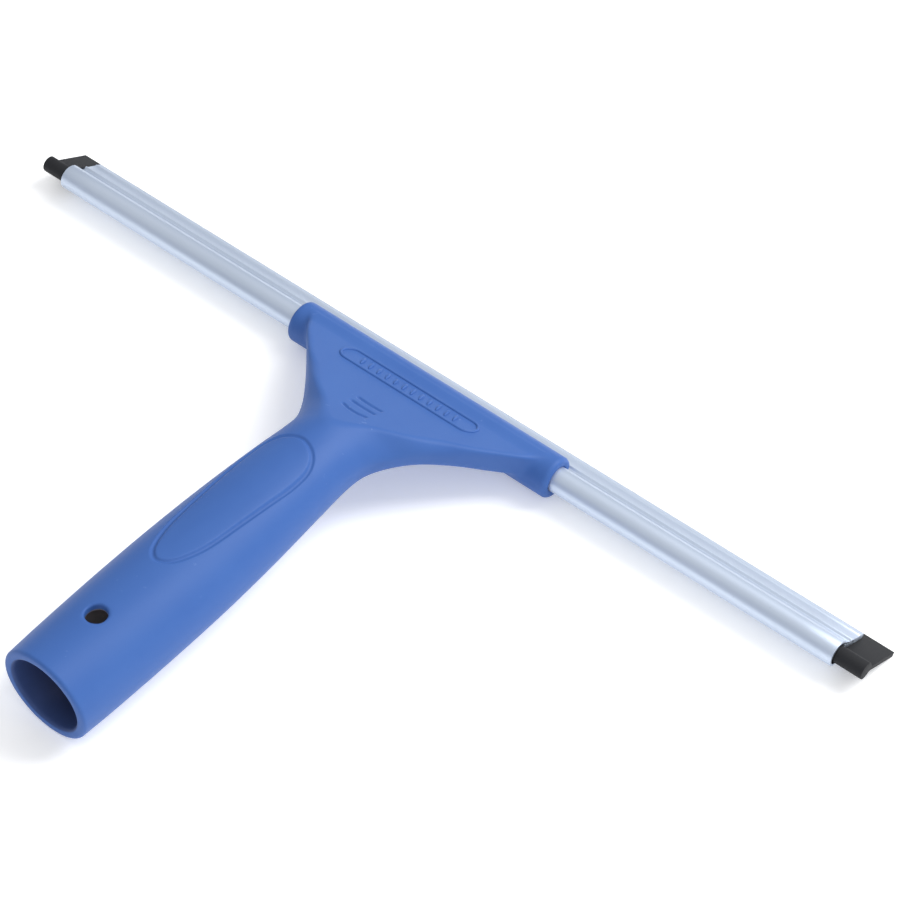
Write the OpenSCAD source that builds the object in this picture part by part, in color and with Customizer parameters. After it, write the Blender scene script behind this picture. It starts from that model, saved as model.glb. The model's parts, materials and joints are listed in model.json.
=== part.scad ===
// Hand squeegee: one-piece moulded handle, extruded aluminium channel and a
// slide-in rubber blade.
//
// Frame: millimetres, +Z up, the squeegee lying as it is put down, on the
// working edge of its rubber and the rim of its socket. +X runs along the
// blade and +Y from the socket towards the blade. The origin is the centre
// of the footprint, on the surface it lies on.

/* [Part shown] */

// Sub-part to draw, or all of them

/* [Handle] */

// Radius of the rim around the pole socket
rim_r = 15.3; // [14.5:0.1:17]
// Radius of the pole socket
socket_r = 12; // [10:0.1:12.5]
// Depth of the straight part of the socket
socket_depth = 60; // [40:1:75]
// Distance from the rim to the channel's axis, along the grip
reach = 162.2; // [158:0.2:166]
// Angle at which the grip's axis climbs towards the head
grip_rise = 3.43; // [2.5:0.01:4.5]
// Diameter of the lock hole in the top of the socket
lock_hole_d = 6.6; // [5:0.1:8]
// Distance from the rim to the lock hole
lock_hole_y = 22.2; // [15:0.1:32]

/* [Head] */

// Length of the jaws that hold the channel
jaw_len = 102.4; // [98:0.1:130]
// Outside radius of the jaws
jaw_r = 6.9; // [6:0.1:7.2]
// Radial gap between the jaws and the channel
jaw_gap = 0.05; // [0.02:0.01:0.1]

/* [Channel] */

// Length of the channel
channel_len = 304.8; // [250:0.2:560]
// Outside radius of the channel's tube
tube_r = 4.15; // [4:0.05:4.3]
// Wall of the channel's tube
tube_wall = 0.85; // [0.7:0.05:1]
// Distance from the tube's axis to the front edge of the lips
lip_reach = 14.6; // [12:0.1:15.5]
// Height of the lips' outer faces from the blade's middle plane
lip_h = 2.55; // [2.4:0.05:2.7]

/* [Rubber] */

// Length of rubber that stands out past each end of the channel
overhang = 9.5; // [2:0.1:15]
// Distance from the bead's centre to the working edge
rubber_reach = 17.9; // [17.5:0.1:22]
// Thickness of the rubber at its working edge
rubber_t = 1.6; // [1.4:0.05:1.8]
// Radius of the bead along the back of the rubber
bead_r = 2.75; // [2.4:0.05:3]
// Angle of the blade below the table-parallel plane
blade_tilt = 24.57; // [22:0.01:27]

/* [Hidden] */

$fn = 96;
eps = 0.01;

handle_colour = [0.28, 0.44, 0.74];
channel_colour = [0.80, 0.83, 0.88];
rubber_colour = [0.10, 0.10, 0.11];

// Heights that put both the working edge and the rim on the table.
axis_z = rubber_reach * sin(blade_tilt) + rubber_t / 2 * cos(blade_tilt);
rim_z = rim_r * cos(grip_rise);
drop = rim_r + (reach * sin(grip_rise) - axis_z) / cos(grip_rise);

// The channel's axis along the table, and the middle of the footprint.
axis_y = reach * cos(grip_rise) + drop * sin(grip_rise);
tip_y = axis_y + rubber_reach * cos(blade_tilt) + rubber_t / 2 * sin(blade_tilt);
rim_round = 1.1;
back_y = -(rim_r - rim_round) * sin(grip_rise);
mid_y = (tip_y + back_y) / 2;

// The blade's slope as seen from the handle.
head_slope = blade_tilt + grip_rise;

// Sections of the moulding, from the rim to the jaws: distance from the rim,
// half width, top, waist (the height where it is widest), bottom, and how
// square the section is above and below its waist (2 is an ellipse).
sections = [
    [0, rim_r - rim_round, rim_r - rim_round, 0, rim_round - rim_r, 2, 2],
    [rim_round * 0.3, rim_r - 0.3 * rim_round, rim_r - 0.3 * rim_round, 0, 0.3 * rim_round - rim_r, 2, 2],
    [rim_round, rim_r, rim_r, 0, -rim_r, 2, 2],
    [12, 15.9, 15.0, 0, -15.1, 2, 2],
    [34, 16.5, 14.6, 0, -14.7, 2, 2],
    [56, 16.5, 14.2, -0.1, -14.4, 2, 2],
    [78, 15.6, 13.6, 0, -13.7, 2.05, 2.05],
    [100, 14.6, 12.4, 0, -12.3, 2.15, 2.15],
    [112, 14.2, 11.6, 0.45, -10.7, 2.3, 2.4],
    [119, 15.0, 11.1, 0.6, -9.2, 2.1, 2.8],
    [126, 18.0, 10.6, -0.15, -8.0, 1.65, 3.4],
    [133, 22.8, 8.0, -2.0, -8.0, 1.95, 4.2],
    [141, 29.6, 3.5, -5.15, -10.2, 2.65, 5.2],
    [149, 36.6, -1.5, -9.05, -14.2, 5, 6],
    [156, 42.6, -5.5, -12.55, -17.9, 7, 6],
    [reach, 46.5, -8.8, -16.5, -22.4, 7, 5]
];

// The flat top of the web: its height at one distance from the rim, and the
// angle at which it falls towards the jaws.
web_y = 133;
web_top = 4;
web_fall = 26.2;
web_cut_len = 80;
web_cut_w = 120;
skin_points = 44;
skin_steps = 4;

// Radius of the end of the blind core behind the socket, and its length.
core_tip_r = 7;
core_taper = 22;
core_end = 40;
mouth_chamfer = 0.8;

// Channel section, as distances from the tube's axis and the middle plane.
slot_h = rubber_t / 2 + 0.05;
groove_h = 2.0;
ridge_u = 7.1;
ridge_r = 0.45;
front_ridge_u = lip_reach - 2.3;
front_ridge_r = 0.35;
edge_round = 0.4;
under_round = 1.2;

// Jaws: the rounded tips stand in the groove behind the lips' rear ridge.
jaw_bore_r = tube_r + jaw_gap;
tip_r = (jaw_r - jaw_bore_r) / 2;
tip_mid_r = (jaw_r + jaw_bore_r) / 2;
tip_clear = 0.15;
tip_h = groove_h + tip_clear + tip_r;
tip_u = sqrt(tip_mid_r * tip_mid_r - tip_h * tip_h);
jaw_end_round = 1.6;
jaw_cut = 3 * jaw_r;

function lerp(a, b, t) = a + (b - a) * t;

// Cubic through points p1 and p2, with slopes taken from their neighbours.
function slope(p0, p1, p2) = (p2 - p0) / (p2[0] - p0[0]);
function hermite(p1, p2, m1, m2, t) =
    let (d = p2[0] - p1[0])
    p1 * (2 * pow(t, 3) - 3 * pow(t, 2) + 1)
    + m1 * d * (pow(t, 3) - 2 * pow(t, 2) + t)
    + p2 * (3 * pow(t, 2) - 2 * pow(t, 3))
    + m2 * d * (pow(t, 3) - pow(t, 2));

function section_at(i, t) =
    let (n = len(sections) - 1)
    let (a = sections[max(i - 1, 0)])
    let (b = sections[i])
    let (c = sections[i + 1])
    let (d = sections[min(i + 2, n)])
    i < 3 ? lerp(b, c, t)
          : hermite(b, c, i == 3 ? slope(b, b, c) : slope(a, b, c), slope(b, c, d), t);

// All the sections that the skin passes through.
function steps(i) = i < 2 ? 1 : skin_steps;
rows = concat(
    [for (i = [0 : len(sections) - 2]) for (k = [0 : steps(i) - 1]) section_at(i, k / steps(i))],
    [sections[len(sections) - 1]]
);

function power(v, n) = sign(v) * pow(abs(v), 2 / n);

// One closed ring of points around a section.
function ring(s) = [
    for (k = [0 : skin_points - 1])
        let (a = 360 * k / skin_points)
        let (rise = sin(a) > 0 ? s[2] - s[3] : s[3] - s[4])
        let (n = sin(a) > 0 ? s[5] : s[6])
        [
            s[1] * power(cos(a), n),
            s[0],
            s[3] + rise * power(sin(a), n)
        ]
];

// Puts a shape drawn in the handle's own frame onto the table.
module on_grip() {
    translate([0, -mid_y, rim_z])
        rotate([grip_rise, 0, 0])
            children();
}

// Puts a flat section, drawn as distance from the tube's axis (x) and height
// from the blade's middle plane (y), across the head for a length.
module along_blade(length) {
    rotate([0, 0, 90])
        rotate([90, 0, 0])
            linear_extrude(height = length, center = true)
                children();
}

// The outside of the grip and head as one flowing skin.
module moulding_skin() {
    rings = [for (s = rows) ring(s)];
    n = skin_points;
    last = len(rings) - 1;
    points = [for (r = rings) for (p = r) p];
    sides = [
        for (j = [0 : last - 1])
            for (k = [0 : n - 1])
                let (a = j * n + k)
                let (b = j * n + (k + 1) % n)
                for (face = [[a, b, b + n], [a, b + n, a + n]])
                    face
    ];
    near_end = [for (k = [n - 1 : -1 : 0]) k];
    far_end = [for (k = [0 : n - 1]) last * n + k];
    polyhedron(points = points, faces = concat(sides, [near_end, far_end]));
}

// Everything above the flat top of the web.
module above_web() {
    translate([0, web_y, web_top])
        rotate([-web_fall, 0, 0])
            translate([-web_cut_w / 2, -web_cut_len / 2, 0])
                cube([web_cut_w, web_cut_len, web_cut_len / 2]);
}

// The pole socket, its chamfered mouth and the blind core behind it.
module socket_hollow() {
    rotate([-90, 0, 0]) {
        translate([0, 0, -1])
            cylinder(h = socket_depth + 1 + eps, r = socket_r);
        translate([0, 0, -1])
            cylinder(h = 1 + mouth_chamfer, r1 = socket_r + 1 + mouth_chamfer, r2 = socket_r);
        translate([0, 0, socket_depth])
            cylinder(h = core_taper + eps, r1 = socket_r, r2 = core_tip_r);
        translate([0, 0, socket_depth + core_taper])
            cylinder(h = core_end - core_taper, r = core_tip_r);
    }
}

// Both jaws, as a C that opens towards the lips.
module jaw_section() {
    difference() {
        circle(r = jaw_r);
        polygon([[0, 0], [tip_u, tip_h] * jaw_cut, [tip_u, -tip_h] * jaw_cut]);
    }
    for (side = [-1, 1])
        translate([tip_u, side * tip_h])
            circle(r = tip_r);
}

// A bar with rounded ends that limits the jaws' outer edges.
module jaw_envelope() {
    rotate([0, 90, 0])
        rotate_extrude()
            for (side = [0, 1])
                mirror([0, side])
                    union() {
                        square([jaw_r - jaw_end_round, jaw_len / 2]);
                        square([jaw_r, jaw_len / 2 - jaw_end_round]);
                        translate([jaw_r - jaw_end_round, jaw_len / 2 - jaw_end_round])
                            circle(r = jaw_end_round);
                    }
}

// Moves a shape from the head's own frame, centred on the channel's axis.
module at_head() {
    translate([0, reach, -drop])
        rotate([-head_slope, 0, 0])
            children();
}

module handle() {
    color(handle_colour)
        on_grip()
            difference() {
                union() {
                    difference() {
                        moulding_skin();
                        above_web();
                    }
                    at_head()
                        intersection() {
                            along_blade(jaw_len)
                                jaw_section();
                            jaw_envelope();
                        }
                }
                socket_hollow();
                translate([0, lock_hole_y, 0])
                    cylinder(h = 2 * rim_r, d = lock_hole_d, $fn = 48);
                at_head()
                    along_blade(jaw_len + 2)
                        circle(r = jaw_bore_r);
            }
}

// One lip with its two raised ridges, above the blade's middle plane, and its
// front edge rounded to a radius.
module lip_section(front_round) {
    groove_end = ridge_u - ridge_r;
    flat_end = lip_reach - front_round;
    square([flat_end, groove_h]);
    translate([groove_end, 0])
        square([flat_end - groove_end, lip_h]);
    square([lip_reach, lip_h - front_round]);
    translate([flat_end, lip_h - front_round])
        circle(r = front_round);
    translate([ridge_u, lip_h - ridge_r / 2])
        circle(r = ridge_r);
    translate([front_ridge_u, lip_h - front_ridge_r / 2])
        circle(r = front_ridge_r);
}

module channel_section() {
    difference() {
        union() {
            circle(r = tube_r);
            lip_section(edge_round);
            mirror([0, 1])
                lip_section(under_round);
        }
        circle(r = tube_r - tube_wall);
        translate([0, -slot_h])
            square([lip_reach + 1, 2 * slot_h]);
    }
}

module rubber_section() {
    circle(r = bead_r);
    translate([0, -rubber_t / 2])
        square([rubber_reach, rubber_t]);
}

// Puts a piece of the blade assembly onto the table.
module on_blade() {
    translate([0, axis_y - mid_y, axis_z])
        rotate([-blade_tilt, 0, 0])
            children();
}

module channel() {
    color(channel_colour)
        on_blade()
            along_blade(channel_len)
                channel_section();
}

module rubber_blade() {
    color(rubber_colour)
        on_blade()
            along_blade(channel_len + 2 * overhang)
                rubber_section();
}

handle();
channel();
rubber_blade();
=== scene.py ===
"""Hand squeegee: a blue moulded handle, a satin aluminium channel and a black rubber blade."""

import json
import math

import bmesh
import bpy
import numpy as np
from mathutils import Matrix, Vector


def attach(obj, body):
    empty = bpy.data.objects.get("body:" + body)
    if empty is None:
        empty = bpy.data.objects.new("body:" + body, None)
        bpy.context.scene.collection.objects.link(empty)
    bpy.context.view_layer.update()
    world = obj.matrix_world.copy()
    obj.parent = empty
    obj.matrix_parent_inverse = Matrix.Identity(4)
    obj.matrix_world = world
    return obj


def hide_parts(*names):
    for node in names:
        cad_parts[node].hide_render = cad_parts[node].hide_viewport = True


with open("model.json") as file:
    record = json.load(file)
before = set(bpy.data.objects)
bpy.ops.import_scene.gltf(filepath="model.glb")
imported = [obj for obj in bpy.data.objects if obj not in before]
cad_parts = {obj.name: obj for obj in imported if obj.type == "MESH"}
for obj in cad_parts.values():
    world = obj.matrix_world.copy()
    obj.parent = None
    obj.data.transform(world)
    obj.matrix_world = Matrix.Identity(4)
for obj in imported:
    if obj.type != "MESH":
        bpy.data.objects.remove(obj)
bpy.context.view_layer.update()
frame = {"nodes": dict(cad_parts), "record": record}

MM = 0.001

# ---------------------------------------------------------------- sizes, in millimetres

# Grip and web: distance from the rim, half width, top, waist, bottom, and how square the
# section is above and below its waist (2 is an ellipse).
SECTIONS = np.array(
    [
        [1.1, 15.3, 15.3, 0, -15.3, 2.0, 2.0],
        [12, 15.9, 15.0, -0.05, -15.1, 2.0, 2.0],
        [34, 16.5, 14.6, -0.05, -14.7, 2.0, 2.0],
        [56, 16.5, 14.2, -0.1, -14.4, 2.0, 2.0],
        [78, 15.6, 13.6, -0.05, -13.7, 2.05, 2.05],
        [100, 14.1, 12.4, 0.05, -12.3, 2.05, 2.15],
        [112, 13.4, 11.6, 0.2, -10.7, 1.85, 2.4],
        [119, 14.2, 11.1, 0.0, -9.2, 1.6, 2.8],
        [126, 17.7, 10.6, -0.9, -8.0, 1.45, 3.4],
        [133, 22.8, 8.0, -2.0, -8.0, 1.95, 4.2],
        [141, 29.6, 3.5, -5.15, -10.2, 2.65, 5.2],
        [149, 36.6, -1.5, -9.05, -14.2, 5.0, 6.0],
        [156, 42.6, -5.5, -12.55, -17.9, 7.0, 6.0],
        [162.2, 46.5, -8.8, -16.5, -22.4, 7.0, 5.0],
    ]
)
# The flat top of the web: its height at one place, and how fast it falls from there.
WEB_Y = 133.0
WEB_TOP = 4.0
WEB_FALL = 0.492
RIM_ROUND = 1.1
REACH = 162.2
DROP = 16.837
HEAD_SLOPE = math.radians(28.0)

# Jaws: length, radii, and the rounded tips beside the mouth
JAW_LEN = 102.4
JAW_R = 6.9
JAW_BORE = 4.2
JAW_END_ROUND = 1.6
TIP_R = 1.35
TIP_MID = 5.55
TIP_H = 3.5

# How far the moulding's edges and inside corners are softened
CREASE_SOFT = 0.95
END_SOFT = 0.2
JAW_FILLET = 2.2
JAW_SOFT = 0.15
BORE_SOFT = 0.2
RIM_SOFT = 0.25
MOUTH_SOFT = 1.3
CORE_SOFT = 0.6
LOCK_SOFT = 0.5

# Socket, the blind core behind it, and the hole for the pole's lock
SOCKET_R = 12.0
SOCKET_DEPTH = 60.0
CORE_R = 7.0
CORE_START = 82.0
CORE_DEPTH = 100.0
LOCK_Y = 22.2
LOCK_R = 3.3
SOCKET_MOUNT_Y = 30.0

# Channel, seen from its axis: its tube, its lips with a groove and two ridges, and its slot
CHANNEL_LEN = 304.8
TUBE_R = 4.15
TUBE_BORE = 3.3
LIP_REACH = 14.6
LIP_H = 2.55
GROOVE_H = 2.0
SLOT_H = 0.85
RIDGE_U = 7.1
FRONT_RIDGE_U = 12.3
LIP_ROUND = 0.45
UNDER_ROUND = 1.2
END_BREAK = 0.12

# Rubber: how far it stands out at each end, its bead, its thickness and its working edge
OVERHANG = 9.5
BEAD_R = 2.75
RUBBER_T = 1.6
RUBBER_REACH = 17.9
RUBBER_BREAK = 0.07

# Relief on the moulding: the right half of the oval in the grip, as offset and distance from
# the rim, then its groove and dish, and the bars below the pad as distance from the rim and sag.
OVAL_HALF = [
    (0, 46.6),
    (3.4, 48.8),
    (5.7, 54),
    (7.2, 61),
    (8.1, 72),
    (8.9, 84),
    (9.3, 93),
    (8.5, 100.5),
    (5.4, 105.3),
    (0, 107.3),
]
OVAL_SHIFT = -0.7
OVAL_SPAN = (40, 115)
GROOVE_DEPTH = 0.55
GROOVE_HALF = 0.88
DISH_DEPTH = 0.22
DISH_SLOPE = 5
BARS = [(129.6, 1.1), (133.1, 0.3), (136.3, 0.3)]
BAR_HALF = 5.0
BAR_DEPTH = 0.6
BAR_LINE = 0.72
BAR_SPAN = (120, 145)
PAD_Y = 154.6
PAD_LEN = 52.0
PAD_W = 7.4
PAD_LINE_R = 0.5
PAD_RIBS = 12
RIB_STEP = 3.3
RIB_HALF = (0.62, 2.3, 0.62)
RIB_SLANT = math.radians(14.0)
# The pad is laid down from this far above the web, looking for it over this distance
CAST_FROM = 30
CAST_LEN = 100

# Spacing of the moulding's mesh, and where it is made finer: near a line of the relief and at
# the rim, on the outside and above the underside
VOXEL = 0.7
FINE_NEAR = 1.1
FAR = 9.0
RIM_BAND = 0.8
BORE_MARGIN = 0.4
SKIN_BAND = 1.2
TOP_SIDE = -14


# ---------------------------------------------------------------- the moulding as one surface


def smooth_min(a, b, k):
    """The lesser of two distances, filleted over k."""
    h = np.clip(0.5 + 0.5 * (b - a) / k, 0, 1)
    return b * (1 - h) + a * h - k * h * (1 - h)


def smooth_max(a, b, k):
    """The greater of two distances, rounded over k."""
    return -smooth_min(-a, -b, k)


def round_max(a, b, r):
    """Where two faces meet, an edge of radius r."""
    u, v = np.maximum(a + r, 0), np.maximum(b + r, 0)
    return np.minimum(np.maximum(a, b), -r) + np.hypot(u, v)


def section_at(y):
    """Half width, top, bottom and squareness of the moulding at each distance from the rim."""
    rows = SECTIONS
    y = np.clip(y, rows[0, 0], REACH)
    i = np.clip(np.searchsorted(rows[:, 0], y, side="right") - 1, 0, len(rows) - 2)
    a, b = rows[np.maximum(i - 1, 0)], rows[i]
    c, d = rows[i + 1], rows[np.minimum(i + 2, len(rows) - 1)]
    span = (c - b)[:, :1]
    t = (y[:, None] - b[:, :1]) / span
    slope_b = (c - a) / (c - a)[:, :1]
    slope_c = (d - b) / (d - b)[:, :1]
    return (
        b * (2 * t**3 - 3 * t**2 + 1)
        + slope_b * span * (t**3 - 2 * t**2 + t)
        + c * (3 * t**2 - 2 * t**3)
        + slope_c * span * (t**3 - t**2)
    )


def skin_faces(p):
    """Distances from the rounded outside of the grip and web, and from the web's flat top."""
    x, y, z = p.T
    rows = section_at(y)
    into_rim = np.clip(1 - y / RIM_ROUND, 0, 1)
    shrink = RIM_ROUND * (1 - np.sqrt(1 - into_rim**2))
    top, waist, bottom = rows[:, 2], rows[:, 3], rows[:, 4]
    above = z > waist
    width = rows[:, 1] - shrink
    half = np.where(above, top - waist, waist - bottom) - shrink
    n = np.where(above, rows[:, 5], rows[:, 6])
    a, b = np.abs(x) / width + 1e-9, np.abs(z - waist) / half + 1e-9
    r = (a**n + b**n) ** (1 / n)
    slope = np.hypot((a / r) ** (n - 1) / width, (b / r) ** (n - 1) / half)
    flat = (z - WEB_TOP + WEB_FALL * (y - WEB_Y)) / math.hypot(1, WEB_FALL)
    return (r - 1) / slope, flat


def skin(p):
    """Distance from the outside of the grip and web."""
    sides, flat = skin_faces(p)
    return smooth_max(sides, flat, CREASE_SOFT)


def in_head(p):
    """Points seen from the channel's axis: along the blade, along the lips, above them."""
    y, z = p[:, 1] - REACH, p[:, 2] + DROP
    c, s = math.cos(HEAD_SLOPE), math.sin(HEAD_SLOPE)
    return p[:, 0], y * c - z * s, y * s + z * c


def jaws(p):
    """Distance from the C-shaped jaws, and from the channel's bore through them."""
    x, u, h = in_head(p)
    h = np.abs(h)
    r = np.hypot(u, h)
    tip_u = math.sqrt(TIP_MID**2 - TIP_H**2)
    closed = h * tip_u > u * TIP_H
    arc = np.where(closed, np.abs(r - TIP_MID), np.hypot(u - tip_u, h - TIP_H)) - TIP_R
    bar = round_max(r - JAW_R, np.abs(x) - JAW_LEN / 2, JAW_END_ROUND)
    return smooth_max(arc, bar, JAW_SOFT), r - JAW_BORE


def hollow(p):
    """Distance from the pole socket and the blind core behind it."""
    x, y, z = p.T
    radius = np.interp(y, [SOCKET_DEPTH, CORE_START], [SOCKET_R, CORE_R])
    return smooth_max(np.hypot(x, z) - radius, y - CORE_DEPTH, CORE_SOFT)


def closed_curve(half):
    """A smooth closed outline, drawn from its right half."""
    right = np.array(half, float)
    left = right[-2:0:-1] * [-1, 1]
    knots = np.concatenate([right, left])
    out = []
    for i in range(len(knots)):
        a, b, c, d = (knots[(i + k) % len(knots)] for k in (-1, 0, 1, 2))
        for t in np.linspace(0, 1, 10, endpoint=False):
            bend = (2 * a - 5 * b + 4 * c - d) * t**2
            twist = (3 * b - a - 3 * c + d) * t**3
            out.append(0.5 * (2 * b + (c - a) * t + bend + twist))
    return np.array(out)


def off_curve(points, curve):
    """Distance of flat points from a closed outline, negative inside it."""
    best = np.full(len(points), 1e9)
    inside = np.zeros(len(points), bool)
    for a, b in zip(curve, np.roll(curve, -1, axis=0)):
        ab, ap = b - a, points - a
        t = np.clip(ap @ ab / (ab @ ab), 0, 1)
        best = np.minimum(best, np.hypot(*(ap - t[:, None] * ab).T))
        crosses = (a[1] > points[:, 1]) != (b[1] > points[:, 1])
        at = a[0] + (points[:, 1] - a[1]) / (ab[1] if ab[1] else 1e-9) * ab[0]
        inside ^= crosses & (points[:, 0] < at)
    return np.where(inside, -best, best)


OVAL = closed_curve(OVAL_HALF) + [OVAL_SHIFT, 0]


def ditch(distance, half):
    """The rounded profile of a moulded groove, 1 at its middle."""
    return np.clip(1 - (distance / half) ** 2, 0, 1) ** 1.5


def off_bar(x, y, bar, half):
    """Distance from the middle line of one curved bar, which reaches half to each side."""
    middle, sag = bar
    line = middle - sag * (1 - (x / BAR_HALF) ** 2)
    return np.hypot(y - line, np.maximum(np.abs(x) - half, 0))


def relief_lines(p):
    """How near each point lies to a line of the relief, or to the crease around the web's top."""
    x, y = p[:, 0], p[:, 1]
    near = np.abs(off_curve(p[:, :2], OVAL))
    for bar in BARS:
        near = np.minimum(near, off_bar(x, y, bar, BAR_HALF))
    return np.minimum(near, np.hypot(*skin_faces(p)))


def relief(p):
    """How deep the marks on the top of the moulding lie under its skin."""
    depth = np.zeros(len(p))
    x, y, z = p.T
    grip = (y > OVAL_SPAN[0]) & (y < OVAL_SPAN[1]) & (z > 4)
    if grip.any():
        d = off_curve(p[grip, :2], OVAL)
        into = np.clip(-d / DISH_SLOPE, 0, 1)
        depth[grip] = GROOVE_DEPTH * ditch(d, GROOVE_HALF) + DISH_DEPTH * into**2 * (3 - 2 * into)
    web = (y > BAR_SPAN[0]) & (y < BAR_SPAN[1]) & (np.abs(x) < 2 * BAR_HALF) & (z > -2)
    if web.any():
        for bar in BARS:
            off = off_bar(x[web], y[web], bar, BAR_HALF - BAR_LINE)
            depth[web] += BAR_DEPTH * ditch(off, BAR_LINE)
    return depth


def moulding(p):
    """Distance from the whole moulding, negative inside the plastic."""
    arms, bore = jaws(p)
    body = smooth_max(skin(p) + relief(p), p[:, 1] - REACH, END_SOFT)
    outside = smooth_min(body, arms, JAW_FILLET)
    outside = smooth_max(outside, -bore, BORE_SOFT)
    outside = smooth_max(outside, -p[:, 1], RIM_SOFT)
    outside = smooth_max(outside, -hollow(p), MOUTH_SOFT)
    lock = np.hypot(p[:, 0], p[:, 1] - LOCK_Y) - LOCK_R
    return smooth_max(outside, -np.maximum(lock, -p[:, 2]), LOCK_SOFT)


def onto_surface(p, rounds):
    """Moves points along the surface's own slope until they lie on it."""
    step, furthest = 0.02, 0.6
    for _ in range(rounds):
        value = moulding(p)
        slope = np.stack(
            [moulding(p + step * e) - moulding(p - step * e) for e in np.eye(3)], axis=1
        ) / (2 * step)
        size = (slope**2).sum(1) + 1e-9
        move = -(value / size)[:, None] * slope
        length = np.linalg.norm(move, axis=1)
        p = p + move * np.minimum(1, furthest / (length + 1e-9))[:, None]
    return p


# ---------------------------------------------------------------- where the handle lies

mounts = {m["name"]: m for m in frame["record"]["mounts"]}
socket = mounts["pole_socket"]
grip_axis = -Vector(socket["axis"]).normalized()
grip_up = Vector((1, 0, 0)).cross(grip_axis)
rim = Vector(socket["pos_m"]) - grip_axis * SOCKET_MOUNT_Y * MM
GRIP = Matrix(
    (
        (1, 0, 0, rim.x),
        (0, grip_axis.y, grip_up.y, rim.y),
        (0, grip_axis.z, grip_up.z, rim.z),
        (0, 0, 0, 1),
    )
)
HEAD = GRIP @ Matrix.Translation((0, REACH * MM, -DROP * MM)) @ Matrix.Rotation(-HEAD_SLOPE, 4, "X")


def points_of(mesh):
    """A mesh's points as rows of x, y, z."""
    co = np.empty(len(mesh.vertices) * 3)
    mesh.vertices.foreach_get("co", co)
    return co.reshape(-1, 3)


def put_points(mesh, co):
    mesh.vertices.foreach_set("co", np.ascontiguousarray(co, np.float32).ravel())
    mesh.update()


def placed(co, matrix):
    """Points moved by a matrix."""
    m = np.array(matrix)
    return co @ m[:3, :3].T + m[:3, 3]


def evaluated(obj, name):
    """A plain mesh object from obj with its modifiers applied; obj itself goes."""
    graph = bpy.context.evaluated_depsgraph_get()
    mesh = bpy.data.meshes.new_from_object(obj.evaluated_get(graph))
    mesh.name = name
    old = obj.data
    bpy.data.objects.remove(obj)
    if old.users == 0:
        bpy.data.meshes.remove(old)
    made = bpy.data.objects.new(name, mesh)
    bpy.context.scene.collection.objects.link(made)
    return made


def relax(mesh, rounds):
    """Evens out the mesh by moving each point towards the middle of its neighbours."""
    edges = np.empty(len(mesh.edges) * 2, np.int64)
    mesh.edges.foreach_get("vertices", edges)
    a, b = edges.reshape(-1, 2).T
    co = points_of(mesh)
    count = np.bincount(np.concatenate([a, b]), minlength=len(co))[:, None]
    for _ in range(rounds):
        total = np.zeros_like(co)
        for k in range(3):
            total[:, k] = np.bincount(a, co[b, k], len(co)) + np.bincount(b, co[a, k], len(co))
        co = co * 0.5 + total / count * 0.5
    put_points(mesh, co)


def make_handle():
    """The moulding: remeshed evenly, drawn onto its exact surface, finer at its rim and relief."""
    start = frame["nodes"]["handle"].data.copy()
    work = bmesh.new()
    work.from_mesh(start)
    bmesh.ops.remove_doubles(work, verts=work.verts, dist=1e-6)
    work.to_mesh(start)
    work.free()
    start.materials.clear()
    obj = bpy.data.objects.new("moulding_start", start)
    bpy.context.scene.collection.objects.link(obj)
    remesh = obj.modifiers.new("even", "REMESH")
    remesh.mode = "VOXEL"
    remesh.voxel_size = VOXEL * MM
    remesh.adaptivity = 0
    obj = evaluated(obj, "handle_moulding")
    mesh = obj.data
    back = GRIP.inverted()
    put_points(mesh, placed(points_of(mesh), back) / MM)
    for _ in range(2):
        put_points(mesh, onto_surface(points_of(mesh), 3))
        relax(mesh, 2)
    put_points(mesh, onto_surface(points_of(mesh), 5))

    co = points_of(mesh)
    x, y, z = co.T
    near = np.where(np.hypot(x, z) > SOCKET_R + BORE_MARGIN, np.maximum(y - RIM_BAND, 0), FAR)
    outer = (y > OVAL_SPAN[0]) & (z > TOP_SIDE) & (np.abs(skin(co)) < SKIN_BAND)
    near[outer] = relief_lines(co[outer])
    work = bmesh.new()
    work.from_mesh(mesh)
    work.verts.ensure_lookup_table()
    fine = [e for e in work.edges if min(near[v.index] for v in e.verts) < FINE_NEAR]
    bmesh.ops.subdivide_edges(work, edges=fine, cuts=1, use_grid_fill=True)
    work.to_mesh(mesh)
    work.free()
    put_points(mesh, onto_surface(points_of(mesh), 5))
    put_points(mesh, placed(points_of(mesh) * MM, GRIP))
    mesh.polygons.foreach_set("use_smooth", [True] * len(mesh.polygons))
    mesh.update()
    return obj


# ---------------------------------------------------------------- the two extrusions


def arc(centre, radius, start, end, steps):
    """Points along an arc, in degrees."""
    angles = np.radians(np.linspace(start, end, steps))
    return [(centre[0] + radius * math.cos(a), centre[1] + radius * math.sin(a)) for a in angles]


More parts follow.
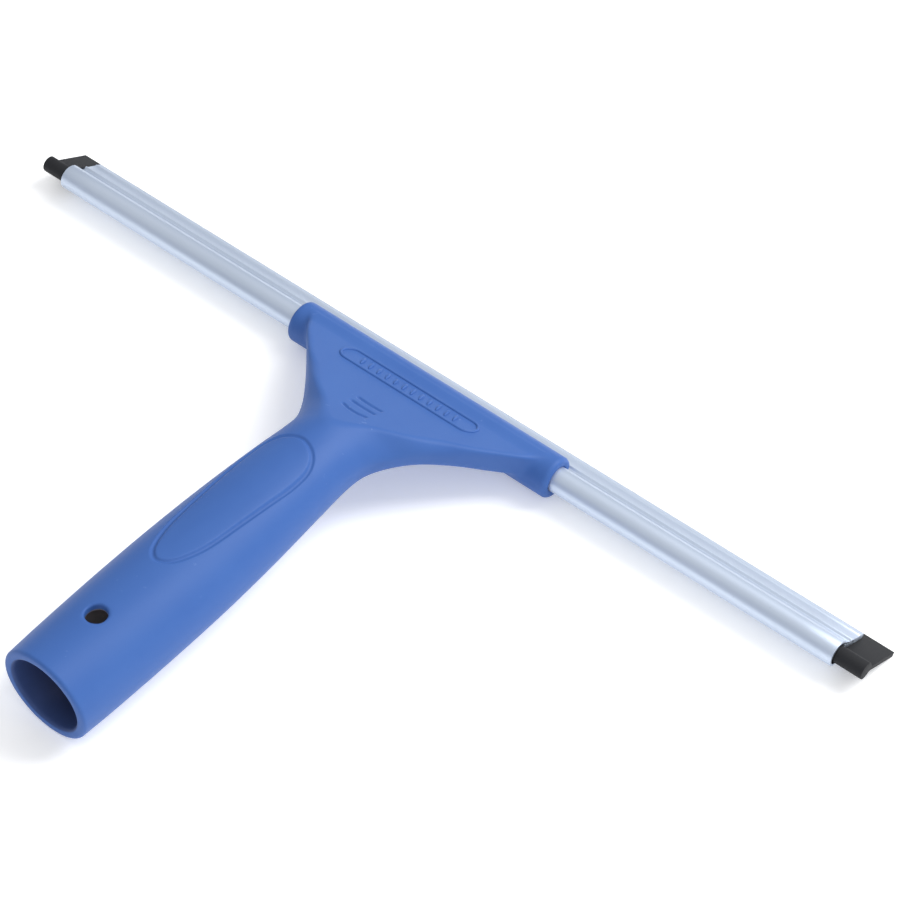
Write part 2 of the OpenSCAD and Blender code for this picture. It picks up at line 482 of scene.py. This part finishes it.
def channel_outline(front_round):
    """Half of the channel's section: along the outside to the lip's rounded front, and the bore."""
    fillet, groove_r, ridge_r, dip_r, front_r = 0.7, 0.3, 0.45, 0.25, 0.34
    valley_h = GROOVE_H + fillet
    valley_u = math.sqrt((TUBE_R + fillet) ** 2 - valley_h**2)
    turn = math.degrees(math.atan2(valley_h, valley_u))
    top = arc((0, 0), TUBE_R, 180, turn, 26)
    top += arc((valley_u, valley_h), fillet, 180 + turn, 270, 8)[1:]
    top += arc((RIDGE_U - 0.95, GROOVE_H + groove_r), groove_r, 270, 340, 5)
    top += arc((RIDGE_U, LIP_H - 0.2), ridge_r, 165, 20, 9)
    top += arc((RIDGE_U + 0.85, LIP_H + 0.12), dip_r, 215, 270, 4)
    top += [(FRONT_RIDGE_U - 0.8, LIP_H - 0.13)]
    top += arc((FRONT_RIDGE_U, LIP_H - 0.15), front_r, 150, 30, 7)
    top += arc((LIP_REACH - front_round, LIP_H - front_round), front_round, 90, 0, 7)
    top += arc((LIP_REACH - END_BREAK, SLOT_H + END_BREAK), END_BREAK, 0, -90, 4)
    meet = math.degrees(math.asin(SLOT_H / TUBE_BORE))
    inner = arc((0, 0), TUBE_BORE, meet, 180, 26)
    return top, inner


def rubber_outline():
    """The rubber's section above its middle plane, from its bead's back to the working edge."""
    fillet, edge = 1.2, RUBBER_BREAK
    neck_h = RUBBER_T / 2 + fillet
    neck_u = math.sqrt((BEAD_R + fillet) ** 2 - neck_h**2)
    turn = math.degrees(math.atan2(neck_h, neck_u))
    top = arc((0, 0), BEAD_R, 180, turn, 22)
    top += arc((neck_u, neck_h), fillet, 180 + turn, 270, 9)[1:]
    top += arc((RUBBER_REACH - edge, RUBBER_T / 2 - edge), edge, 90, 0, 3)
    return top


def mirrored(points):
    """The other half of a section, in the order that closes it."""
    return [(u, -h) for u, h in reversed(points)]


def profile_object(name, outline):
    """A flat closed outline as a mesh of edges, ready to be swept."""
    mesh = bpy.data.meshes.new(name)
    n = len(outline)
    mesh.from_pydata([(u, h, 0) for u, h in outline], [(i, (i + 1) % n) for i in range(n)], [])
    obj = bpy.data.objects.new(name, mesh)
    bpy.context.scene.collection.objects.link(obj)
    return obj


class Tree:
    """A node tree that is built call by call."""

    def __init__(self, tree):
        self.tree = tree

    def node(self, kind, settings=None, sockets=None, output=0):
        made = self.tree.nodes.new(kind)
        for key, value in (settings or {}).items():
            setattr(made, key, value)
        for key, value in (sockets or {}).items():
            if isinstance(value, bpy.types.NodeSocket):
                self.tree.links.new(value, made.inputs[key])
            else:
                made.inputs[key].default_value = value
        return made.outputs[output] if len(made.outputs) else made


def sweep_tree():
    """Sweeps the host's outline along X to a named length, with closed ends."""
    group = bpy.data.node_groups.new("extrusion", "GeometryNodeTree")
    group.interface.new_socket("Outline", in_out="INPUT", socket_type="NodeSocketGeometry")
    for name, kind, value in (
        ("Length", "NodeSocketFloat", 0.3),
        ("Steps", "NodeSocketInt", 24),
        ("Finish", "NodeSocketMaterial", None),
    ):
        made = group.interface.new_socket(name, in_out="INPUT", socket_type=kind)
        if value is not None:
            made.default_value = value
    group.interface.new_socket("Extrusion", in_out="OUTPUT", socket_type="NodeSocketGeometry")
    t = Tree(group)
    given = group.nodes.new("NodeGroupInput").outputs
    half = t.node("ShaderNodeMath", {"operation": "MULTIPLY"}, {0: given["Length"], 1: 0.5})
    less = t.node("ShaderNodeMath", {"operation": "MULTIPLY"}, {0: given["Length"], 1: -0.5})
    start = t.node("ShaderNodeCombineXYZ", sockets={"X": less})
    end = t.node("ShaderNodeCombineXYZ", sockets={"X": half})
    line = t.node(
        "GeometryNodeCurvePrimitiveLine", {"mode": "POINTS"}, {"Start": start, "End": end}
    )
    path = t.node("GeometryNodeResampleCurve", sockets={"Curve": line, "Count": given["Steps"]})
    outline = t.node("GeometryNodeMeshToCurve", sockets={"Mesh": given["Outline"]})
    swept = t.node(
        "GeometryNodeCurveToMesh",
        sockets={"Curve": path, "Profile Curve": outline, "Fill Caps": True},
    )
    real = t.node("GeometryNodeRealizeInstances", sockets={0: swept})
    done = t.node(
        "GeometryNodeSetMaterial", sockets={"Geometry": real, "Material": given["Finish"]}
    )
    t.node("NodeGroupOutput", sockets={0: done})
    return group


SWEEP = sweep_tree()
SHARP_ANGLE = math.radians(35)
RIM_ANGLE = 1.0


def set_inputs(modifier, **values):
    """Sets a Geometry Nodes modifier's inputs by name, with _ for each space."""
    for item in modifier.node_group.interface.items_tree:
        key = item.name.replace(" ", "_")
        if item.item_type == "SOCKET" and item.in_out == "INPUT" and key in values:
            modifier[item.identifier] = values[key]


def is_rim(edge, half):
    """Whether an edge runs around a cut end, which lies half the length from the middle."""
    at_end = all(abs(abs(v.co.x) - half) < 1e-6 for v in edge.verts)
    return at_end and len(edge.link_faces) == 2 and edge.calc_face_angle() > RIM_ANGLE


def swept(name, outline, length, steps, finish, edge):
    """An extrusion of one outline, whose cut ends have their edges just broken."""
    host = profile_object(name + "_outline", [(-u * MM, -h * MM) for u, h in outline])
    maker = host.modifiers.new("extrusion", "NODES")
    maker.node_group = SWEEP
    set_inputs(maker, Length=length * MM, Steps=steps, Finish=finish)
    obj = evaluated(host, name)
    mesh = obj.data
    work = bmesh.new()
    work.from_mesh(mesh)
    bmesh.ops.remove_doubles(work, verts=work.verts, dist=1e-7)
    bmesh.ops.recalc_face_normals(work, faces=work.faces)
    rims = [e for e in work.edges if is_rim(e, length * MM / 2)]
    bmesh.ops.bevel(work, geom=rims, offset=edge * MM, segments=2, affect="EDGES", profile=0.6)
    work.to_mesh(mesh)
    work.free()
    return obj


def smooth_by_angle(mesh, limit):
    """Shades a mesh smooth, and keeps the edges that turn by more than the limit sharp."""
    mesh.polygons.foreach_set("use_smooth", [True] * len(mesh.polygons))
    work = bmesh.new()
    work.from_mesh(mesh)
    for e in work.edges:
        e.smooth = len(e.link_faces) != 2 or e.calc_face_angle() < limit
    work.to_mesh(mesh)
    work.free()


def pad_tree():
    """A ribbed pad: a rounded line around a row of slanted ribs, all laid on the surface below."""
    group = bpy.data.node_groups.new("ribbed_pad", "GeometryNodeTree")
    group.interface.new_socket("Geometry", in_out="INPUT", socket_type="NodeSocketGeometry")
    for name, kind in (
        ("Surface", "NodeSocketObject"),
        ("Middle", "NodeSocketVector"),
        ("Length", "NodeSocketFloat"),
        ("Width", "NodeSocketFloat"),
        ("Line Radius", "NodeSocketFloat"),
        ("Rib Count", "NodeSocketInt"),
        ("Rib Spacing", "NodeSocketFloat"),
        ("Rib Size", "NodeSocketVector"),
        ("Slant", "NodeSocketFloat"),
        ("Finish", "NodeSocketMaterial"),
    ):
        group.interface.new_socket(name, in_out="INPUT", socket_type=kind)
    group.interface.new_socket("Pad", in_out="OUTPUT", socket_type="NodeSocketGeometry")
    t = Tree(group)
    given = group.nodes.new("NodeGroupInput").outputs
    below = t.node(
        "GeometryNodeObjectInfo",
        {"transform_space": "ORIGINAL"},
        {"Object": given["Surface"]},
        output="Geometry",
    )
    here = t.node("GeometryNodeInputPosition")
    above = t.node(
        "ShaderNodeVectorMath", {"operation": "ADD"}, {0: here, 1: (0, 0, CAST_FROM * MM)}
    )

    def cast(output):
        return t.node(
            "GeometryNodeRaycast",
            sockets={
                "Target Geometry": below,
                "Source Position": above,
                "Ray Direction": (0, 0, -1),
                "Ray Length": CAST_LEN * MM,
            },
            output=output,
        )

    def laid(geometry):
        return t.node(
            "GeometryNodeSetPosition",
            sockets={"Geometry": geometry, "Position": cast("Hit Position")},
        )

    frame_line = t.node(
        "GeometryNodeCurvePrimitiveQuadrilateral",
        sockets={"Width": given["Length"], "Height": given["Width"]},
    )
    corner = t.node("ShaderNodeMath", {"operation": "MULTIPLY"}, {0: given["Width"], 1: 0.499})
    frame_line = t.node(
        "GeometryNodeFilletCurve",
        {"mode": "POLY"},
        {"Curve": frame_line, "Count": 12, "Radius": corner, "Limit Radius": True},
    )
    frame_line = t.node("GeometryNodeResampleCurve", sockets={"Curve": frame_line, "Count": 180})
    frame_line = t.node(
        "GeometryNodeTransform",
        sockets={"Geometry": frame_line, "Translation": given["Middle"]},
    )
    bead = t.node(
        "GeometryNodeCurvePrimitiveCircle",
        sockets={"Resolution": 10, "Radius": given["Line Radius"]},
    )
    frame_line = t.node(
        "GeometryNodeCurveToMesh", sockets={"Curve": laid(frame_line), "Profile Curve": bead}
    )
    last = t.node("ShaderNodeMath", {"operation": "SUBTRACT"}, {0: given["Rib Count"], 1: 1})
    reach = t.node("ShaderNodeMath", {"operation": "MULTIPLY"}, {0: last, 1: given["Rib Spacing"]})
    start_x = t.node("ShaderNodeMath", {"operation": "MULTIPLY"}, {0: reach, 1: -0.5})
    start = t.node("ShaderNodeCombineXYZ", sockets={"X": start_x})
    start = t.node("ShaderNodeVectorMath", {"operation": "ADD"}, {0: start, 1: given["Middle"]})
    step = t.node("ShaderNodeCombineXYZ", sockets={"X": given["Rib Spacing"]})
    places = t.node(
        "GeometryNodeMeshLine",
        sockets={"Count": given["Rib Count"], "Start Location": start, "Offset": step},
    )
    rib = t.node("GeometryNodeMeshUVSphere", sockets={"Segments": 14, "Rings": 10, "Radius": 1.0})
    rib = t.node("GeometryNodeTransform", sockets={"Geometry": rib, "Scale": given["Rib Size"]})
    lie = t.node("FunctionNodeAlignRotationToVector", {"axis": "Z"}, {"Vector": cast("Hit Normal")})
    turn = t.node("ShaderNodeCombineXYZ", sockets={"Z": given["Slant"]})
    turn = t.node("FunctionNodeEulerToRotation", sockets={"Euler": turn})
    lie = t.node(
        "FunctionNodeRotateRotation",
        {"rotation_space": "LOCAL"},
        {"Rotation": lie, "Rotate By": turn},
    )
    ribs = t.node(
        "GeometryNodeInstanceOnPoints",
        sockets={"Points": laid(places), "Instance": rib, "Rotation": lie},
    )
    both = group.nodes.new("GeometryNodeJoinGeometry")
    for part in (ribs, frame_line):
        group.links.new(part, both.inputs[0])
    real = t.node("GeometryNodeRealizeInstances", sockets={0: both.outputs[0]})
    smooth = t.node("GeometryNodeSetShadeSmooth", sockets={"Geometry": real})
    done = t.node(
        "GeometryNodeSetMaterial", sockets={"Geometry": smooth, "Material": given["Finish"]}
    )
    t.node("NodeGroupOutput", sockets={0: done})
    return group


def make_pad(surface, finish):
    """The ribbed pad in the web's flat top."""
    host = bpy.data.objects.new("grip_pad_host", bpy.data.meshes.new("grip_pad_host"))
    bpy.context.scene.collection.objects.link(host)
    middle = GRIP @ Vector((0, PAD_Y * MM, 0))
    maker = host.modifiers.new("ribbed_pad", "NODES")
    maker.node_group = pad_tree()
    set_inputs(
        maker,
        Surface=surface,
        Middle=(0, middle.y, middle.z),
        Length=PAD_LEN * MM,
        Width=PAD_W * MM,
        Line_Radius=PAD_LINE_R * MM,
        Rib_Count=PAD_RIBS,
        Rib_Spacing=RIB_STEP * MM,
        Rib_Size=[h * MM for h in RIB_HALF],
        Slant=RIB_SLANT,
        Finish=finish,
    )
    return evaluated(host, "grip_pad")


# ---------------------------------------------------------------- finishes

FLOOR_GLOW = 0.28


class Wire:
    """A shader value that can be used in sums."""

    def __init__(self, finish, socket):
        self.finish, self.socket = finish, socket

    def _maths(self, operation, first, second):
        return self.finish.node("ShaderNodeMath", {"operation": operation}, {0: first, 1: second})

    def __add__(self, other):
        return self._maths("ADD", self, other)

    __radd__ = __add__

    def __sub__(self, other):
        return self._maths("SUBTRACT", self, other)

    def __rsub__(self, other):
        return self._maths("SUBTRACT", other, self)

    def __mul__(self, other):
        return self._maths("MULTIPLY", self, other)

    __rmul__ = __mul__

    def __truediv__(self, other):
        return self._maths("DIVIDE", self, other)

    def __pow__(self, other):
        return self._maths("POWER", self, other)


class Finish:
    """A material whose nodes are added call by call."""

    def __init__(self, name):
        self.material = bpy.data.materials.new(name)
        self.material.use_nodes = True
        self.tree = self.material.node_tree
        self.tree.nodes.clear()

    def node(self, kind, settings=None, sockets=None, output=0):
        made = self.tree.nodes.new(kind)
        for key, value in (settings or {}).items():
            if key == "stops":
                ramp = made.color_ramp
                while len(ramp.elements) < len(value):
                    ramp.elements.new(0.5)
                for element, (place, level) in zip(ramp.elements, value):
                    element.position = place
                    element.color = (level, level, level, 1)
            else:
                setattr(made, key, value)
        for key, value in (sockets or {}).items():
            if isinstance(value, Wire):
                self.tree.links.new(value.socket, made.inputs[key])
            else:
                made.inputs[key].default_value = value
        return Wire(self, made.outputs[output]) if len(made.outputs) else made

    def place(self, scale=(1, 1, 1)):
        """Object coordinates, stretched by scale."""
        where = self.node("ShaderNodeTexCoord", output="Object")
        return self.node("ShaderNodeMapping", sockets={"Vector": where, "Scale": scale})

    def noise(self, where, scale, detail=3.0, roughness=0.5, distortion=0.0):
        return self.node(
            "ShaderNodeTexNoise",
            sockets={
                "Vector": where,
                "Scale": scale,
                "Detail": detail,
                "Roughness": roughness,
                "Distortion": distortion,
            },
        )

    def vector(self, operation, sockets, output="Vector"):
        return self.node("ShaderNodeVectorMath", {"operation": operation}, sockets, output)

    def ramp(self, value, *stops):
        return self.node("ShaderNodeValToRGB", {"stops": stops}, {"Fac": value})

    def mix(self, share, a, b):
        return self.node(
            "ShaderNodeMix", {"data_type": "RGBA"}, {0: share, 6: a, 7: b}, output=2
        )

    def bump(self, height, strength, distance):
        sockets = {"Height": height, "Strength": strength, "Distance": distance}
        return self.node("ShaderNodeBump", sockets=sockets)

    def done(self, **sockets):
        """The surface itself; a socket's name is written with _ for each space."""
        named = {key.replace("_", " "): value for key, value in sockets.items()}
        surface = self.node("ShaderNodeBsdfPrincipled", sockets=named)
        self.node("ShaderNodeOutputMaterial", sockets={"Surface": surface})
        return self.material


def socket_depth(f):
    """How far into the socket each place lies, and how far off its axis."""
    where = f.node("ShaderNodeTexCoord", output="Object")
    out = f.vector("SUBTRACT", {0: where, 1: rim})
    into = f.vector("DOT_PRODUCT", {0: out, 1: grip_axis}, "Value")
    away = f.vector("LENGTH", {0: out}, "Value")
    return into, (away * away - into * into) ** 0.5


def blue_moulding():
    """Matt moulded plastic: fine grain, flow marks and pale scuffs; painted shade darkens the
    socket's wall, which turns a pale grey-brown deeper in.
    """
    f = Finish("blue_moulding")
    here = f.place()
    grain = f.noise(here, 2600, 3, 0.6)
    mottle = f.noise(here, 38, 3, 0.55)
    flow = f.noise(f.place((1, 0.22, 1)), 160, 3, 0.5, 0.6)
    specks = f.ramp(f.noise(here, 420, 2, 0.5), (0.70, 0.0), (0.76, 1.0))
    patches = f.ramp(f.noise(here, 60, 2, 0.5), (0.50, 0.0), (0.68, 1.0))
    scuffs = specks * patches
    into, off_axis = socket_depth(f)
    part_way = into / (REACH * MM)
    in_bore = f.ramp((off_axis - SOCKET_R * MM) / MM, (0.45, 1.0), (0.80, 0.0))
    # Painted shade: the socket's wall is darkened from the rim inwards, where little light reaches
    inside = in_bore * f.ramp(part_way, (0.0, 0.55), (0.06, 0.80), (0.5, 0.80), (0.56, 0.0))
    # Deeper in, the wall is given a pale grey-brown tone instead
    deep = in_bore * f.ramp(part_way, (0.10, 0.0), (0.16, 0.9), (0.5, 0.9), (0.56, 0.0))
    tone = f.mix(mottle, (0.039, 0.109, 0.352, 1), (0.053, 0.135, 0.395, 1))
    tone = f.mix(flow * 0.35, tone, (0.062, 0.152, 0.420, 1))
    tone = f.mix(grain * 0.12, tone, (0.022, 0.085, 0.330, 1))
    tone = f.mix(scuffs * 0.35, tone, (0.30, 0.42, 0.70, 1))
    # The socket's wall takes the painted shade, then the grey-brown tone deeper in
    tone = f.mix(inside, tone, (0.034, 0.032, 0.070, 1))
    tone = f.mix(deep, tone, (0.42, 0.38, 0.36, 1))
    rough = 0.40 + mottle * 0.10 + grain * 0.08 + scuffs * 0.15
    height = grain * 0.55 + flow * 0.35 + mottle * 0.6
    return f.done(
        Base_Color=tone,
        Roughness=rough,
        Specular_IOR_Level=0.24,
        IOR=1.46,
        Normal=f.bump(height, 0.22, 0.00012),
    )


def satin_aluminium():
    """Drawn and anodised aluminium: fine lines along its length, a cool sheen, light nicks."""
    f = Finish("satin_aluminium")
    here = f.place()
    drawn = f.noise(f.place((0.012, 1, 1)), 2400, 4, 0.6)
    lines = f.noise(f.place((0.004, 1, 1)), 900, 3, 0.5)
    cloud = f.noise(f.place((0.25, 1, 1)), 60, 3, 0.5)
    nick = f.ramp(f.noise(here, 900, 2, 0.5), (0.73, 0.0), (0.78, 1.0))
    tone = f.mix(cloud, (0.54, 0.62, 0.74, 1), (0.61, 0.68, 0.79, 1))
    tone = f.mix(drawn * 0.25, tone, (0.50, 0.56, 0.68, 1))
    tone = f.mix(nick * 0.25, tone, (0.38, 0.42, 0.50, 1))
    rough = 0.36 + drawn * 0.12 + cloud * 0.08 + nick * 0.1
    height = drawn * 0.6 + lines * 0.8 - nick * 0.3
    return f.done(
        Base_Color=tone,
        Metallic=0.8,
        Roughness=rough,
        Normal=f.bump(height, 0.18, 0.00006),
    )


def black_rubber():
    """Soft natural rubber: matt, a little dusty, with a fine cast grain and cutting lines."""
    f = Finish("black_rubber")
    here = f.place()
    grain = f.noise(here, 1900, 4, 0.65)
    dust = f.noise(here, 130, 4, 0.6)
    lines = f.noise(f.place((0.02, 1, 1)), 1300, 2, 0.5)
    tone = f.mix(dust, (0.009, 0.0095, 0.011, 1), (0.018, 0.019, 0.022, 1))
    tone = f.mix(grain * 0.3, tone, (0.040, 0.041, 0.045, 1))
    rough = 0.58 + dust * 0.14 + grain * 0.10
    height = grain * 0.6 + lines * 0.4
    return f.done(
        Base_Color=tone,
        Roughness=rough,
        Specular_IOR_Level=0.22,
        IOR=1.5,
        Normal=f.bump(height, 0.25, 0.0001),
    )


def pale_floor():
    """A nearly white studio floor with a slight glow of its own, which keeps the shadows pale."""
    f = Finish("pale_floor")
    soft = f.noise(f.place(), 3, 2, 0.5)
    tone = f.mix(soft, (0.93, 0.93, 0.93, 1), (0.96, 0.96, 0.96, 1))
    return f.done(
        Base_Color=tone,
        Roughness=0.9,
        Emission_Color=(1, 1, 1, 1),
        Emission_Strength=FLOOR_GLOW,
    )


# ---------------------------------------------------------------- the pieces

PLASTIC, METAL, RUBBER = blue_moulding(), satin_aluminium(), black_rubber()

handle = make_handle()
handle.data.materials.clear()
handle.data.materials.append(PLASTIC)
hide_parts("handle")
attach(handle, "handle")

pad = make_pad(handle, PLASTIC)
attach(pad, "handle")

upper_half = sum(channel_outline(LIP_ROUND), [])
lower_half = sum(channel_outline(UNDER_ROUND), [])
whole = upper_half + mirrored(lower_half)[1:-1]
channel = swept("channel_extrusion", whole, CHANNEL_LEN, 25, METAL, END_BREAK)

rubber_top = rubber_outline()
whole = rubber_top + mirrored(rubber_top)[:-1]
rubber = swept("rubber_strip", whole, CHANNEL_LEN + 2 * OVERHANG, 41, RUBBER, RUBBER_BREAK)

for piece, node, body, slot in (
    (channel, "channel", "channel", "channel"),
    (rubber, "rubber_blade", "blade", "rubber"),
):
    smooth_by_angle(piece.data, SHARP_ANGLE)
    put_points(piece.data, placed(points_of(piece.data), HEAD))
    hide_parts(node)
    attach(piece, body)

# ---------------------------------------------------------------- stage, light and camera


FLOOR_SIZE = 6.0
# Name, place, aim, size, watts and colour of each lamp, in metres
LAMPS = [
    ("key", (0.62, 0.95, 1.05), (0, 0, 0), 0.8, 15.5, (1, 1, 1)),
    ("fill", (1.1, -0.5, 0.8), (0, 0, 0), 0.8, 3.0, (0.95, 0.97, 1.0)),
    ("top", (0.32, 0.42, 1.1), (0, 0.05, 0), 0.3, 2.0, (1, 1, 1)),
]
# The camera, in metres from the middle of the grip's rim, along the grip's own directions
CAMERA_PLACE = (0.3683, -0.2785, 0.6215)
CAMERA_VIEW = (-0.4133, 0.5080, -0.7557)
CAMERA_RIGHT = (0.7710, 0.6368, 0.0064)
CAMERA_LENS = 112.2
CAMERA_SENSOR = 36


def make_floor():
    bpy.ops.mesh.primitive_plane_add(size=FLOOR_SIZE, location=(0, 0, 0))
    floor = bpy.context.active_object
    floor.name = "floor"
    floor.data.materials.append(pale_floor())


def area_light(name, place, aim, size, watts, colour):
    light = bpy.data.lights.new(name, "AREA")
    light.energy, light.size, light.color = watts, size, colour
    obj = bpy.data.objects.new(name, light)
    bpy.context.scene.collection.objects.link(obj)
    obj.location = place
    obj.rotation_euler = (Vector(aim) - Vector(place)).to_track_quat("-Z", "Y").to_euler()


def make_world():
    """A soft tent: bright overhead, dimmer and cooler towards the horizon and below it."""
    world = bpy.data.worlds.new("studio")
    bpy.context.scene.world = world
    world.use_nodes = True
    tree = world.node_tree
    back = tree.nodes["Background"]
    where = tree.nodes.new("ShaderNodeTexCoord")
    split = tree.nodes.new("ShaderNodeSeparateXYZ")
    ramp = tree.nodes.new("ShaderNodeValToRGB")
    tree.links.new(where.outputs["Generated"], split.inputs[0])
    tree.links.new(split.outputs["Z"], ramp.inputs[0])
    tree.links.new(ramp.outputs[0], back.inputs["Color"])
    low, high = ramp.color_ramp.elements
    low.position, low.color = 0.0, (0.25, 0.29, 0.38, 1)
    high.position, high.color = 0.75, (0.76, 0.76, 0.76, 1)
    back.inputs["Strength"].default_value = 1.0


def make_camera():
    """Looks down on the squeegee from over the socket's right side; placed from the grip."""
    data = bpy.data.cameras.new("camera")
    data.lens, data.sensor_width = CAMERA_LENS, CAMERA_SENSOR
    data.clip_start, data.clip_end = 0.05, 20
    obj = bpy.data.objects.new("camera", data)
    bpy.context.scene.collection.objects.link(obj)
    view = Vector(CAMERA_VIEW).normalized()
    right = Vector(CAMERA_RIGHT)
    right = (right - view * right.dot(view)).normalized()
    up = right.cross(view)
    turn = Matrix((right, up, -view)).transposed().to_4x4()
    obj.matrix_world = GRIP @ Matrix.Translation(CAMERA_PLACE) @ turn
    bpy.context.scene.camera = obj


make_floor()
make_world()
for lamp in LAMPS:
    area_light(*lamp)
make_camera()
bpy.context.scene.view_settings.view_transform = "Standard"
